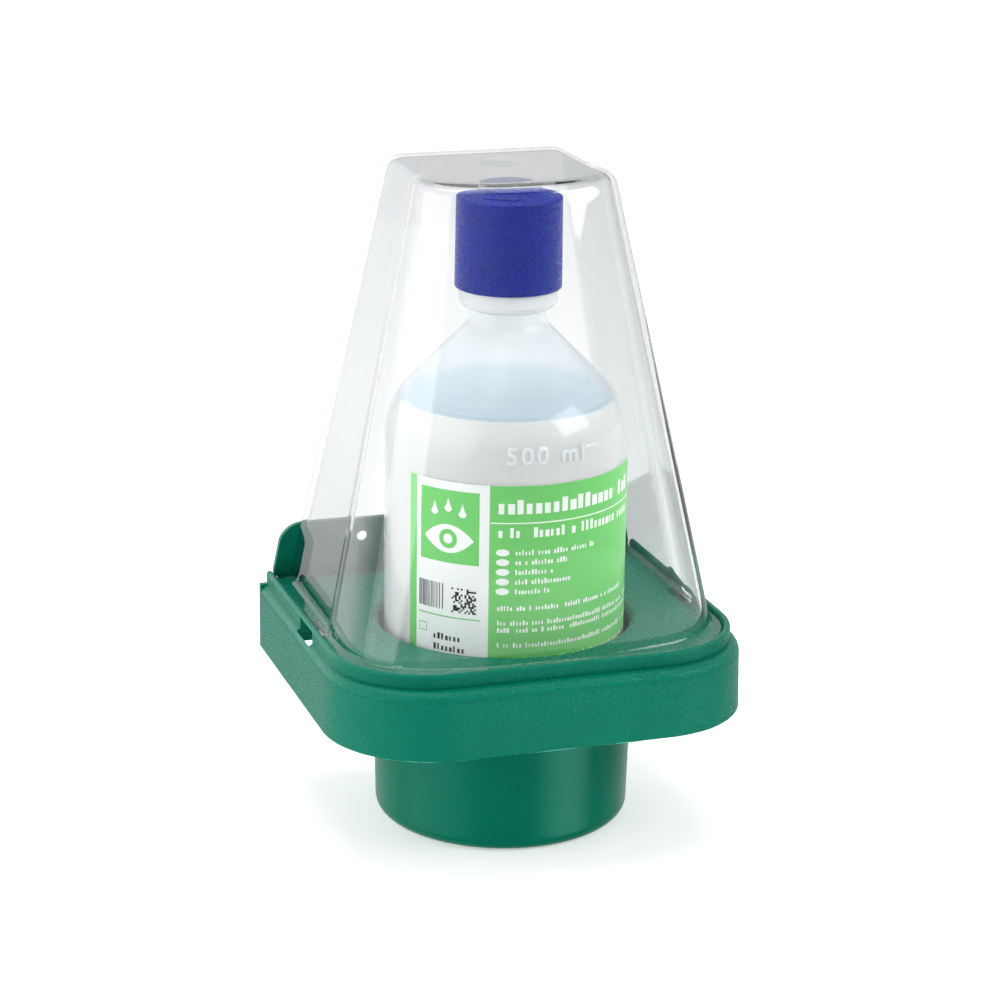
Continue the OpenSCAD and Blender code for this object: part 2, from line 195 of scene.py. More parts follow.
def relief(tree, height, depth_mm, strength=1.0):
    """A bump of that depth from a field of heights, as a socket."""
    return add_node(tree, "ShaderNodeBump", {
        "Height": height, "Strength": strength, "Distance": depth_mm * MM}).outputs["Normal"]


def green_polypropylene(name, colour, roughness, grain_depth_mm, glint_speck):
    """Green polypropylene with a spark-eroded grain of that depth; glint_speck sets how much the pits shine
    and how much painted glint brightens their colour.
    """
    material, tree, surface = new_material(name)
    place = add_node(tree, "ShaderNodeTexCoord").outputs["Object"]
    pits = noise(tree, place, grain_mm, 3.0, Roughness=0.6)
    swirl = noise(tree, place, 40, 3.0, Roughness=0.5, Distortion=0.6)
    # The pits' brighter colour is painted glint; the wide swirl is tone that differs at random.
    value = add_node(tree, "ShaderNodeMath", {
        0: ramp(tree, swirl, 0.3, 0.7, 0.93, 1.07),
        1: ramp(tree, pits, 0.35, 0.65, 1 - glint_speck, 1 + glint_speck)}, operation="MULTIPLY")
    tint = add_node(tree, "ShaderNodeHueSaturation", {
        "Color": linear(colour), "Value": value.outputs["Value"]})
    shader = add_node(tree, "ShaderNodeBsdfPrincipled", {
        "Base Color": tint.outputs["Color"],
        "Roughness": ramp(tree, pits, 0.35, 0.65, roughness + glint_speck, roughness - glint_speck), "IOR": 1.49,
        "Specular IOR Level": 0.4, "Specular Tint": linear("#8CE4CE"),
        "Normal": relief(tree, pits, grain_depth_mm)})
    tree.links.new(shader.outputs["BSDF"], surface.inputs["Surface"])
    return material


def dress(node, material):
    """Gives a CAD node one material in place of its packed one."""
    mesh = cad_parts[node].data
    mesh.materials.clear()
    mesh.materials.append(material)


grained_green = green_polypropylene("spark-eroded green polypropylene", "#006F58", 0.30, 0.22, 0.14)
smooth_green = green_polypropylene("smooth green polypropylene", "#006E56", 0.22, 0.006, 0.03)
dress("base_tray", grained_green)
dress("back_plate", grained_green)
dress("bottle_cup", smooth_green)


def new_tree(name, inputs):
    """A geometry node tree with those named inputs and a Geometry output, and its input sockets."""
    tree = bpy.data.node_groups.new(name, "GeometryNodeTree")
    for label, kind in inputs.items():
        tree.interface.new_socket(label, in_out="INPUT", socket_type="NodeSocket" + kind)
    tree.interface.new_socket("Geometry", in_out="OUTPUT", socket_type="NodeSocketGeometry")
    return tree, add_node(tree, "NodeGroupInput").outputs


def end_tree(tree, geometry, material):
    """Makes a tree's copies real, gives them the material and sends them out."""
    real = add_node(tree, "GeometryNodeRealizeInstances", {"Geometry": geometry})
    coloured = add_node(tree, "GeometryNodeSetMaterial", {
        "Geometry": real.outputs["Geometry"], "Material": material})
    add_node(tree, "NodeGroupOutput", {"Geometry": coloured.outputs["Geometry"]})


def flash_tree():
    """Node tree for moulding flash: a fine tube along an edge, whose thickness wanders by a noise."""
    tree, given = new_tree("moulding flash", {
        "Geometry": "Geometry", "Thickness": "Float", "Wander": "Float", "Patch Size": "Float",
        "Material": "Material"})
    edge = add_node(tree, "GeometryNodeMeshToCurve", {"Mesh": given["Geometry"]})
    place = add_node(tree, "GeometryNodeInputPosition").outputs["Position"]
    scale = add_node(tree, "ShaderNodeMath", {0: 1.0, 1: given["Patch Size"]}, operation="DIVIDE")
    patches = add_node(tree, "ShaderNodeTexNoise", {
        "Vector": place, "Scale": scale.outputs["Value"], "Detail": 2.0})
    least = add_node(tree, "ShaderNodeMath", {0: 1.0, 1: given["Wander"]}, operation="SUBTRACT")
    share = ramp(tree, patches.outputs["Fac"], 0.35, 0.65, least.outputs["Value"], 1.0)
    radius = add_node(tree, "ShaderNodeMath", {0: share, 1: given["Thickness"]}, operation="MULTIPLY")
    ring = add_node(tree, "GeometryNodeCurvePrimitiveCircle", {"Resolution": 6, "Radius": 0.5})
    tube = add_node(tree, "GeometryNodeCurveToMesh", {
        "Curve": edge.outputs["Curve"], "Profile Curve": ring.outputs["Curve"],
        "Scale": radius.outputs["Value"], "Fill Caps": True})
    end_tree(tree, tube.outputs["Mesh"], given["Material"])
    return tree


def bake_tree(name, tree, values, base=None):
    """Runs a node tree on a mesh, or on nothing, and returns the result as a plain mesh object."""
    piece = bpy.data.objects.new(name, base or bpy.data.meshes.new(name))
    scene.collection.objects.link(piece)
    modifier = piece.modifiers.new(tree.name, "NODES")
    modifier.node_group = tree
    for socket in tree.interface.items_tree:
        if socket.in_out == "INPUT" and socket.name in values:
            modifier[socket.identifier] = values[socket.name]
    bpy.context.view_layer.update()
    made = bpy.data.meshes.new_from_object(piece.evaluated_get(bpy.context.evaluated_depsgraph_get()))
    piece.modifiers.remove(modifier)
    piece.data = made
    made.name = name
    return piece


def mix(a, b, share):
    """The value at that share of the way from a to b."""
    return a + (b - a) * share


def arc(cx, cy, r, start, end, steps):
    """Points of an arc, from one angle to another in degrees."""
    return [(cx + r * math.cos(math.radians(mix(start, end, k / steps))),
             cy + r * math.sin(math.radians(mix(start, end, k / steps)))) for k in range(steps + 1)]


tray_lo, tray_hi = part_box("base_tray")
skirt_z = tray_lo.z / MM + 0.1
skirt_side = tray_hi.x / MM - 0.3
skirt_front = -tray_lo.y / MM - 0.3
skirt_back = 49.0
skirt_corner = 32.7
flash_step = 1.5
lower_edge = [(-skirt_side, skirt_back)]
for side, start in ((-1, 180), (1, 270)):
    lower_edge += arc(side * (skirt_side - skirt_corner), skirt_corner - skirt_front, skirt_corner,
                      start, start + 90, 30)
lower_edge.append((skirt_side, skirt_back))
fine = []
for (x0, y0), (x1, y1) in zip(lower_edge, lower_edge[1:]):
    parts = max(1, round(math.hypot(x1 - x0, y1 - y0) / flash_step))
    fine += [(mix(x0, x1, k / parts), mix(y0, y1, k / parts)) for k in range(parts)]
fine.append(lower_edge[-1])
path = bpy.data.meshes.new("skirt_flash_with_painted_highlight")
path.from_pydata([(x * MM, y * MM, skirt_z * MM) for x, y in fine],
                 [(k, k + 1) for k in range(len(fine) - 1)], [])
# The flash is painted pale green as a painted highlight along the skirt's lower edge.
flash_painted_highlight = green_polypropylene("flash green painted pale as highlight", "#4FA58C", 0.4, 0.01, 0.05)
flash = bake_tree("skirt_flash_with_painted_highlight", flash_tree(), {
    "Thickness": 0.7 * MM, "Wander": 0.75, "Patch Size": 9 * MM, "Material": flash_painted_highlight}, path)
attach(flash, "base")


# ---- Clear cover -----------------------------------------------------------------------------
# One injection moulding in clear polystyrene. It tapers to the top, has a flat back, recessed
# side panels and a round front, and stands on a foot flange inside the tray's rim.

cover_lo, cover_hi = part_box("clear_cover")
rim_h = 3.0
floor_z = tray_hi.z / MM - rim_h
cover_top = cover_hi.z / MM
cover_rise = cover_top - floor_z
cover_wall = 1.9
cover_round = 3.8
flange_half_w = cover_hi.x / MM
flange_front = -cover_lo.y / MM
flange_back = cover_hi.y / MM
flange_t = 1.8
flange_corner = 27.5
flange_w = 3.6
cover_foot = {"half_w": flange_half_w - flange_w, "back": flange_back - 0.6,
              "front": flange_front - flange_w}
cover_lid = {"half_w": 29.0, "back": 36.8, "front": 20.5}
front_bow = 3.3
panel_recess = 1.7
panel_step = 8
back_corner = 3


def cover_outline(share, inset):
    """The cover's plan at that share of its height, clockwise from the middle of the back."""
    half_w, rear, front = (
        mix(cover_foot[k], cover_lid[k], share) - inset for k in ("half_w", "back", "front"))
    front += front_bow * 4 * share * (1 - share)
    step_w = half_w + mix(0.6, 0.2, share)
    step_y = mix(-3, 5, share)
    front_w = step_w + panel_recess
    front_y = step_y - panel_step
    power = 2 / mix(3.3, 2.3, share)  # the round front is squarer at the foot than at the top
    half = [((half_w - back_corner) * k / 6, rear) for k in range(6)]
    half += arc(half_w - back_corner, rear - back_corner, back_corner, 90, 0, 8)
    half += [(mix(half_w, step_w, k / 14), mix(rear - back_corner, step_y, k / 14)) for k in range(1, 14)]
    for k in range(13):
        half.append((step_w + panel_recess * (1 - math.cos(math.pi * k / 12)) / 2,
                     step_y - panel_step * k / 12))
    front_steps = 48
    for k in range(1, front_steps):
        a = math.radians(90 * (k / front_steps) ** 1.15)
        half.append((front_w * math.cos(a) ** power, front_y - (front + front_y) * math.sin(a) ** power))
    half.append((0, -front))
    return half + [(-x, y) for x, y in half[-2:0:-1]]


def flange_outline(inset):
    """The foot flange's plan, one point outside each point of the cover's plan."""
    half_w, front, rear = flange_half_w - inset, flange_front - inset, flange_back - inset
    r = flange_corner - inset
    cx, cy = half_w - r, r - front
    points = []
    for x, y in cover_outline(0, 0):
        if y > cover_foot["back"] - back_corner - 0.01:
            px, py = x * half_w / cover_foot["half_w"], rear if y > cover_foot["back"] - 2 else y
        elif y > cy and abs(x) > cx:
            px, py = math.copysign(half_w, x), y
        else:
            a = math.atan2(max(0, cy - y) / (cy + cover_foot["front"]),
                           max(0, (abs(x) - cx) / (cover_foot["half_w"] - cx + 2)))
            px, py = (math.copysign(cx + r * math.cos(a), x) if abs(x) > cx else x), -front
            if abs(x) > cx:
                py = cy - r * math.sin(a)
        points.append((px, py))
    return points


def loft(name, rings, close_ends=True):
    """A mesh from rings of points in millimetres, each ring as long as the next."""
    n = len(rings[0])
    points = [(x * MM, y * MM, z * MM) for ring in rings for x, y, z in ring]
    faces = []
    for i in range(len(rings) - 1):
        for k in range(n):
            m = (k + 1) % n
            faces.append((i * n + k, i * n + m, (i + 1) * n + m, (i + 1) * n + k))
    if close_ends:
        last = (len(rings) - 1) * n
        faces.append(tuple(range(n))[::-1])
        faces.append(tuple(range(last, last + n)))
    mesh = bpy.data.meshes.new(name)
    mesh.from_pydata(points, [], faces)
    return finish_mesh(name, mesh)


def finish_mesh(name, mesh):
    """Turns the faces outwards, shades bends of up to 35 degrees as round, and makes the object."""
    work = bmesh.new()
    work.from_mesh(mesh)
    bmesh.ops.remove_doubles(work, verts=work.verts, dist=1e-7)
    bmesh.ops.recalc_face_normals(work, faces=work.faces)
    work.to_mesh(mesh)
    work.free()
    mesh.shade_smooth()
    mesh.set_sharp_from_angle(angle=math.radians(35))
    piece = bpy.data.objects.new(name, mesh)
    scene.collection.objects.link(piece)
    return piece


def cover_skin(inset, round_r, top_z, bottom_z):
    """Rings of one skin of the shell, from its lower edge up to the edge of its flat top."""
    rings = []
    straight_top = top_z - round_r
    levels, round_steps = 40, 8
    for k in range(levels + 1):
        z = mix(bottom_z, straight_top, k / levels)
        share = (z - floor_z) / cover_rise
        rings.append([(x, y, z) for x, y in cover_outline(share, inset)])
    for k in range(1, round_steps + 1):
        a = math.radians(90 * k / round_steps)
        z = straight_top + round_r * math.sin(a)
        share = (z - floor_z) / cover_rise
        rings.append([(x, y, z) for x, y in cover_outline(share, inset + round_r * (1 - math.cos(a)))])
    return rings


def flat_ring(outline, z):
    """A plan laid at that height."""
    return [(x, y, z) for x, y in outline]


# The outside from the foot up: the flange, a small fillet and the tapered walls.
foot_top = floor_z + flange_t
outer = [
    flat_ring(flange_outline(0.3), floor_z),
    flat_ring(flange_outline(0), floor_z + 0.3),
    flat_ring(flange_outline(0), foot_top - 0.4),
    flat_ring(flange_outline(0.4), foot_top),
    flat_ring(cover_outline(0, -0.5), foot_top),
    flat_ring(cover_outline(0, -0.15), foot_top + 0.25),
] + cover_skin(0, cover_round, cover_top, foot_top + 0.9)
inner = cover_skin(cover_wall, cover_round - cover_wall, cover_top - cover_wall, floor_z)


def shrink_to_middle(ring, shares):
    """Rings that close a flat end towards its middle."""
    cx = sum(p[0] for p in ring) / len(ring)
    cy = sum(p[1] for p in ring) / len(ring)
    return [[(mix(cx, x, s), mix(cy, y, s), z) for x, y, z in ring] for s in shares]


lid_shares = (0.9, 0.7, 0.45, 0.2)
outer += shrink_to_middle(outer[-1], lid_shares)
inner += shrink_to_middle(inner[-1], lid_shares)
cover = loft("cover_shell", inner[::-1] + outer)


def let_lamps_through(tree, surface, shader, colour):
    """Shows the shader to the eye, and lets the soft boxes shine through with only a slight tint."""
    open_way = add_node(tree, "ShaderNodeBsdfTransparent", {"Color": linear(colour)})
    chooser = add_node(tree, "ShaderNodeMixShader", {
        "Fac": add_node(tree, "ShaderNodeLightPath").outputs["Is Shadow Ray"]})
    tree.links.new(shader.outputs["BSDF"], chooser.inputs[1])
    tree.links.new(open_way.outputs["BSDF"], chooser.inputs[2])
    tree.links.new(chooser.outputs["Shader"], surface.inputs["Surface"])


def clear_polystyrene():
    """Clear polystyrene: sharp and almost colourless, with faint flow lines up its walls."""
    material, tree, surface = new_material("clear moulded polystyrene")
    place = add_node(tree, "ShaderNodeTexCoord").outputs["Object"]
    stretched = add_node(tree, "ShaderNodeMapping", {"Vector": place, "Scale": (1, 1, 0.15)})
    flow = noise(tree, stretched.outputs["Vector"], 9)
    slant = add_node(tree, "ShaderNodeLayerWeight", {"Blend": 0.5}).outputs["Facing"]
    body = add_node(tree, "ShaderNodeMix", {
        0: ramp(tree, slant, 0.3, 0.95), 6: linear("#EEEFEF"), 7: linear("#B4B9BA")}, data_type="RGBA")
    shader = add_node(tree, "ShaderNodeBsdfPrincipled", {
        "Base Color": body.outputs[2], "Roughness": ramp(tree, flow, 0.3, 0.7, 0.02, 0.045),
        "IOR": 1.03, "Transmission Weight": 1.0, "Coat Weight": 1.0, "Coat IOR": 1.5,
        "Coat Roughness": 0.04, "Normal": relief(tree, flow, 0.04, 0.25)})
    let_lamps_through(tree, surface, shader, "#F8F9F9")
    return material


clear_plastic = clear_polystyrene()
cover.data.materials.append(clear_plastic)
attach(cover, "cover")
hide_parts("clear_cover")


def cover_piece(piece):
    """A detail moulded with the cover."""
    piece.data.materials.append(clear_plastic)
    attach(piece, "cover")


tongue_z = cover_lo.z / MM
tongue_t = 2.4
tongue_front, tongue_back = -6.3, 7.0
for side, name in ((-1, "left"), (1, "right")):
    near, far = flange_half_w - tongue_t, flange_half_w
    rings = []
    for z, inset in ((tongue_z, 0.35), (tongue_z + 0.4, 0), (floor_z + 0.2, 0)):
        rings.append([(side * x, y, z) for x, y in (
            (near + inset, tongue_front + inset), (far - inset, tongue_front + inset),
            (far - inset, tongue_back - inset), (near + inset, tongue_back - inset))])
    cover_piece(loft(f"cover_latch_{name}", rings))


def circle(r, z, turns, cy=0):
    """A level ring of so many points, round the axis or round a point that far behind it."""
    return [(r * math.cos(2 * math.pi * k / turns), cy + r * math.sin(2 * math.pi * k / turns), z)
            for k in range(turns)]


# The gate's scar on the lid: a shallow ring with a nub in its middle.
gate_y = 11
gate = [circle(r, cover_top + z, 64, gate_y) for r, z in (
    (6.2, -0.25), (5.9, -0.02), (5.4, -0.02), (5.1, -0.25),
    (1.3, -0.25), (1.1, -0.03), (0.9, -0.03), (0.7, -0.25))]
cover_piece(loft("cover_gate_mark", gate, close_ends=False))


# ---- Bottle ----------------------------------------------------------------------------------
# Blown in natural polyethylene, which is milky and softens what is behind it. The neck, the
# collar and the outlet spout are moulded with it, and so is the raised 500 ml mark.

bottle_r = 37.0
bottle_wall = 0.9
cup_floor = 1.6
cap_lo, cap_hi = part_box("screw_cap")
spout_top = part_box("bottle_shell")[1].z / MM
shoulder_z = 121.1
shoulder_r = 24.0
neck_r = 11.7
neck_fillet = 3.5
collar_r = 15.0
collar_top = cap_lo.z / MM - 0.1
collar_z = collar_top - 5.9
finish_r = 12.4
finish_top = spout_top - 5
thread_pitch = 4.2
thread_depth = 0.6
spout_r = 3.2
outlet_r = 1.2


def lathe(name, profile):
    """Spins a half section, given as radius and height from axis to axis, into a closed mesh."""
    return loft(name, [circle(r, z, 160) for r, z in profile], close_ends=False)


def body_profile(inset):
    """The bottle's half section from its pushed-up base to the plain neck, moved inwards."""
    r = bottle_r - inset
    low = cup_floor + inset
    base = 6.0 - inset
    bend = shoulder_r - inset
    hollow = neck_fillet + inset
    neck_z = collar_z - 3.3
    return (
        [(0, low + 2.2), (12, low + 2.0), (22, low + 1.2), (26, low + 0.3), (28, low)]
        + arc(r - base, low + base, base, -90, 0, 12)
        + [(r, z) for z in (20, 40, 60, 80, 100)]
        + arc(r - bend, shoulder_z, bend, 0, 45, 20)
        + arc(neck_r - inset + hollow, neck_z, hollow, 225, 180, 10)
    )


# The outside from the base up: body, neck, collar, thread and spout. Then the inside, down again.
outside = body_profile(0) + [(neck_r, collar_z - 0.6)]
outside += arc(collar_r - 2.4, collar_z + 2.4, 2.4, -90, 0, 10)
outside += arc(collar_r - 0.4, collar_top - 0.4, 0.4, 0, 90, 4)
outside += [(finish_r, collar_top)]
for k in range(3):
    ridge = collar_top + 4 + thread_pitch * k
    outside += [(finish_r, ridge - 1.1), (finish_r + thread_depth, ridge - 0.4),
                (finish_r + thread_depth, ridge + 0.4), (finish_r, ridge + 1.1)]
outside += arc(finish_r - 0.5, finish_top - 0.5, 0.5, 0, 90, 4)
outside += [(spout_r + 2.4, finish_top), (spout_r, spout_top - 0.2), (spout_r - 0.2, spout_top),
            (outlet_r, spout_top), (outlet_r, finish_top - 1.6)]
inside = body_profile(bottle_wall) + [(neck_r - 1.5, collar_z), (neck_r - 1.5, finish_top - 1.8)]
bottle = lathe("bottle_blown_shell", outside + inside[::-1])


def natural_polyethylene(name, clear_share):
    """Natural polyethylene: milky, clear enough in a thin wall to show the level, less so at the neck."""
    material, tree, surface = new_material(name)
    place = add_node(tree, "ShaderNodeTexCoord").outputs["Object"]
    cloud = noise(tree, place, 14, 3.0)
    height = add_node(tree, "ShaderNodeSeparateXYZ", {"Vector": place}).outputs["Z"]
    clearness = ramp(tree, height, 0.134, 0.164, clear_share, clear_share - 0.34,
                     interpolation_type="SMOOTHSTEP")
    shader = add_node(tree, "ShaderNodeBsdfPrincipled", {
        "Base Color": linear("#F4F6F7"), "Roughness": ramp(tree, cloud, 0.3, 0.7, 0.14, 0.24),
        "IOR": 1.2, "Transmission Weight": clearness, "Coat Weight": 0.6, "Coat Roughness": 0.12,
        "Normal": relief(tree, cloud, 0.15, 0.5)})
    let_lamps_through(tree, surface, shader, "#F4F6F7")
    return material


milky_plastic = natural_polyethylene("natural blown polyethylene", 0.76)
thick_plastic = natural_polyethylene("thick natural polyethylene", 0.36)
bottle.data.materials.append(milky_plastic)
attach(bottle, "bottle")
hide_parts("bottle_shell")


def wrap(piece, r):
    """Bends a flat piece, X along the arc and Y outwards, round the bottle at that radius."""
    for vertex in piece.data.vertices:
        x, y, z = vertex.co
        a = x / (r * MM)
        out = r * MM - y
        vertex.co = (out * math.sin(a), -out * math.cos(a), z)


def bottle_detail(piece):
    """A raised detail moulded with the bottle."""
    piece.data.materials.append(thick_plastic)
    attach(piece, "bottle")


def raised_number(name, words, size, middle_mm, z_mm, raise_mm):
    """Moulded figures on the bottle's wall, wrapped to it, with their size in millimetres."""
    curve = bpy.data.curves.new(name, "FONT")
    curve.body = words
    curve.size = size * MM
    curve.space_character = 1.25
    curve.extrude = raise_mm * MM
    curve.bevel_depth = 0.15 * MM
    curve.align_x = "CENTER"
    holder = bpy.data.objects.new(name, curve)
    scene.collection.objects.link(holder)
    bpy.context.view_layer.update()
    mesh = bpy.data.meshes.new_from_object(holder.evaluated_get(bpy.context.evaluated_depsgraph_get()))
    bpy.data.objects.remove(holder)
    for vertex in mesh.vertices:
        x, y, z = vertex.co
        vertex.co = (x + middle_mm * MM, -z, y + z_mm * MM)
    piece = bpy.data.objects.new(name, mesh)
    scene.collection.objects.link(piece)
    wrap(piece, bottle_r)
    bottle_detail(piece)


raised_number("volume_mark", "500 ml", 7.4, 0.5, 122.2, 0.45)


def patch(name, left, right, low, high, lift, thick, columns=None):
    """A rectangle on the bottle's wall, in millimetres along the arc and up, as a thin solid."""
    columns = columns or max(1, round(abs(right - left) / 1.5))
    work = bmesh.new()
    grid = []
    for k in range(columns + 1):
        x = mix(left, right, k / columns)
        grid.append([work.verts.new((x * MM, -(lift + t) * MM, z * MM))
                     for t in (0, thick) for z in (low, high)])
    for a, b in zip(grid, grid[1:]):
        for i, j in ((0, 1), (1, 3), (3, 2), (2, 0)):
            work.faces.new((a[i], b[i], b[j], a[j]))
    for end in (grid[0], grid[-1]):
        work.faces.new((end[0], end[1], end[3], end[2]))
    mesh = bpy.data.meshes.new(name)
    work.to_mesh(mesh)
    work.free()
    piece = finish_mesh(name, mesh)
    wrap(piece, bottle_r)
    return piece


bottle_detail(patch("volume_tick", 13.0, 18.2, 125.3, 126.1, -0.1, 0.55))


# ---- Eyewash ---------------------------------------------------------------------------------
# Sterile salt water, filled a little above the mark. Its surface creeps up the wall, and its top
# carries a painted cool blue reflection.

fill_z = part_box("eyewash_solution")[1].z / MM
surface_dip = 0.8
wet = [p for p in body_profile(bottle_wall + 0.01) if p[1] < fill_z]
edge_r = bottle_r - shoulder_r + math.sqrt((shoulder_r - bottle_wall) ** 2 - (fill_z - shoulder_z) ** 2)
surface_line = [(edge_r - 0.02, fill_z), (edge_r - 0.9, fill_z - 0.5), (edge_r - 2.2, fill_z - 0.75)]
surface_line += [(r, fill_z - surface_dip) for r in (edge_r - 6, edge_r / 2, 0)]
liquid = lathe("eyewash_liquid", wet + surface_line)


def salt_water():
    """Salt water as milky plastic shows it: pale and soft, with a painted cool blue reflection on its
    surface.
    """
    material, tree, surface = new_material("sterile salt water")
    place = add_node(tree, "ShaderNodeTexCoord").outputs["Object"]
    height = add_node(tree, "ShaderNodeSeparateXYZ", {"Vector": place}).outputs["Z"]
    # The top surface is painted blue as a painted reflection; below it the water keeps its pale tone.
    near_top = ramp(tree, height, (fill_z - surface_dip - 0.2) * MM, (fill_z - surface_dip - 0.1) * MM)
    tone_with_painted_reflection = add_node(tree, "ShaderNodeMix", {
        0: near_top, 6: linear("#F2EDE6"), 7: linear("#79B4CC")}, data_type="RGBA")
    shader = add_node(tree, "ShaderNodeBsdfPrincipled", {
        "Base Color": tone_with_painted_reflection.outputs[2], "Roughness": ramp(tree, noise(tree, place, 30), 0, 1, 0.05, 0.15),
        "IOR": 1.333, "Transmission Weight": 0.15})
    tree.links.new(shader.outputs["BSDF"], surface.inputs["Surface"])
    return material


liquid.data.materials.append(salt_water())
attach(liquid, "bottle")
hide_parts("eyewash_solution")


# ---- Label -----------------------------------------------------------------------------------
# A printed white film round the bottle: a green edge, a white column with a picture of an eye
# and falling drops, and a wide green field. All wording is drawn as plain rows of blocks.

label_lo, label_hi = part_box("bottle_label")
label_low, label_high = label_lo.z / MM, label_hi.z / MM
film = 0.12
ink = 0.025
deg = math.radians(1) * bottle_r  # millimetres along the arc for each degree
label_left = -67.5 * deg
label_right = label_left + 236 * deg
column_left = -63.0 * deg
field_left = -25.4 * deg


def printed_film(name, colour, roughness=0.34):
    """Gravure ink on polypropylene film: even, satin, with a faint mottle in the solid areas."""
    material, tree, surface = new_material(name)
    place = add_node(tree, "ShaderNodeTexCoord").outputs["Object"]
    mottle = noise(tree, place, 1.2)
    tint = add_node(tree, "ShaderNodeHueSaturation", {
        "Color": linear(colour), "Value": ramp(tree, mottle, 0.3, 0.7, 0.98, 1.02)})
    shader = add_node(tree, "ShaderNodeBsdfPrincipled", {
        "Base Color": tint.outputs["Color"], "Roughness": roughness, "IOR": 1.4,
        "Specular IOR Level": 0.3, "Normal": relief(tree, mottle, 0.01, 0.3)})
    tree.links.new(shader.outputs["BSDF"], surface.inputs["Surface"])
    return material


white_film = printed_film("white label film", "#F7F9F8")
green_ink = printed_film("light green label ink", "#76D071")
white_ink = printed_film("white label ink", "#FBFDFB")
black_ink = printed_film("black overprint", "#20222A", 0.5)


def label_piece(piece, material):
    """A finished print or film, which goes with the bottle."""
    piece.data.materials.clear()
    piece.data.materials.append(material)
    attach(piece, "bottle")
    return piece


film_sheet = label_piece(patch("label_film", label_left, label_right, label_low, label_high, 0.0, film),
                         white_film)
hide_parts("bottle_label")
on_film = film
on_green = film + ink
edge_strip = patch("label_green_edge", label_left, column_left, label_low, label_high, on_film, ink)
field = patch("label_green_field", field_left, label_right, label_low, label_high, on_film, ink)
rule = patch("label_column_rule", column_left + 1, field_left - 2.5, 73.3, 73.7, on_film, ink)
picture = patch("label_picture_ground", -60.4 * deg, -30 * deg, 90.5, 113, on_film, ink)
for piece in (edge_strip, field, rule, picture):
    label_piece(piece, green_ink)
label_piece(patch("label_title_rule", field_left + 0.3, label_right, 104.0, 104.35, on_green, ink), white_ink)


def shape(name, middle, half_w, low, high, lift, material):
    """A printed shape whose lower and upper edges are functions of the share across it."""
    piece = patch(name, middle - half_w, middle + half_w, 0, 1, lift, ink, columns=24)
    for vertex in piece.data.vertices:
        x, y, z = vertex.co
        across = (math.atan2(x, -y) * bottle_r - middle) / half_w
        across = max(-1, min(1, across))
        vertex.co.z = (low(across) if z < 0.5 * MM else high(across)) * MM
    return label_piece(piece, material)


eye_x, eye_z = -45.2 * deg, 98.0


def eyelid(across):
    """How far the eye opens at that share of its half width."""
    return 4.4 * (1 - across * across)


def round_edge(r):
    """The edge of a round spot, as a function of the share across it."""
    return lambda across: r * math.sqrt(max(0, 1 - across * across))


shape("label_eye_white", eye_x, 8.2, lambda a: eye_z - eyelid(a), lambda a: eye_z + eyelid(a),
      on_green, white_ink)
for name, r, lift, material in (("label_iris", 3.0, 2, green_ink), ("label_pupil", 1.5, 3, white_ink)):
    edge = round_edge(r)
    shape(name, eye_x, r, lambda a: eye_z - edge(a), lambda a: eye_z + edge(a), film + lift * ink, material)
for k, (dx, dz) in enumerate(((-4.6, 106.2), (0.0, 107.6), (4.6, 106.2))):
    edge = round_edge(1.25)
    shape(f"label_drop_{k + 1}", eye_x + dx, 1.25, lambda a: dz - edge(a),
          lambda a: dz + 3.1 * (1 - abs(a)) ** 1.6, on_green, white_ink)


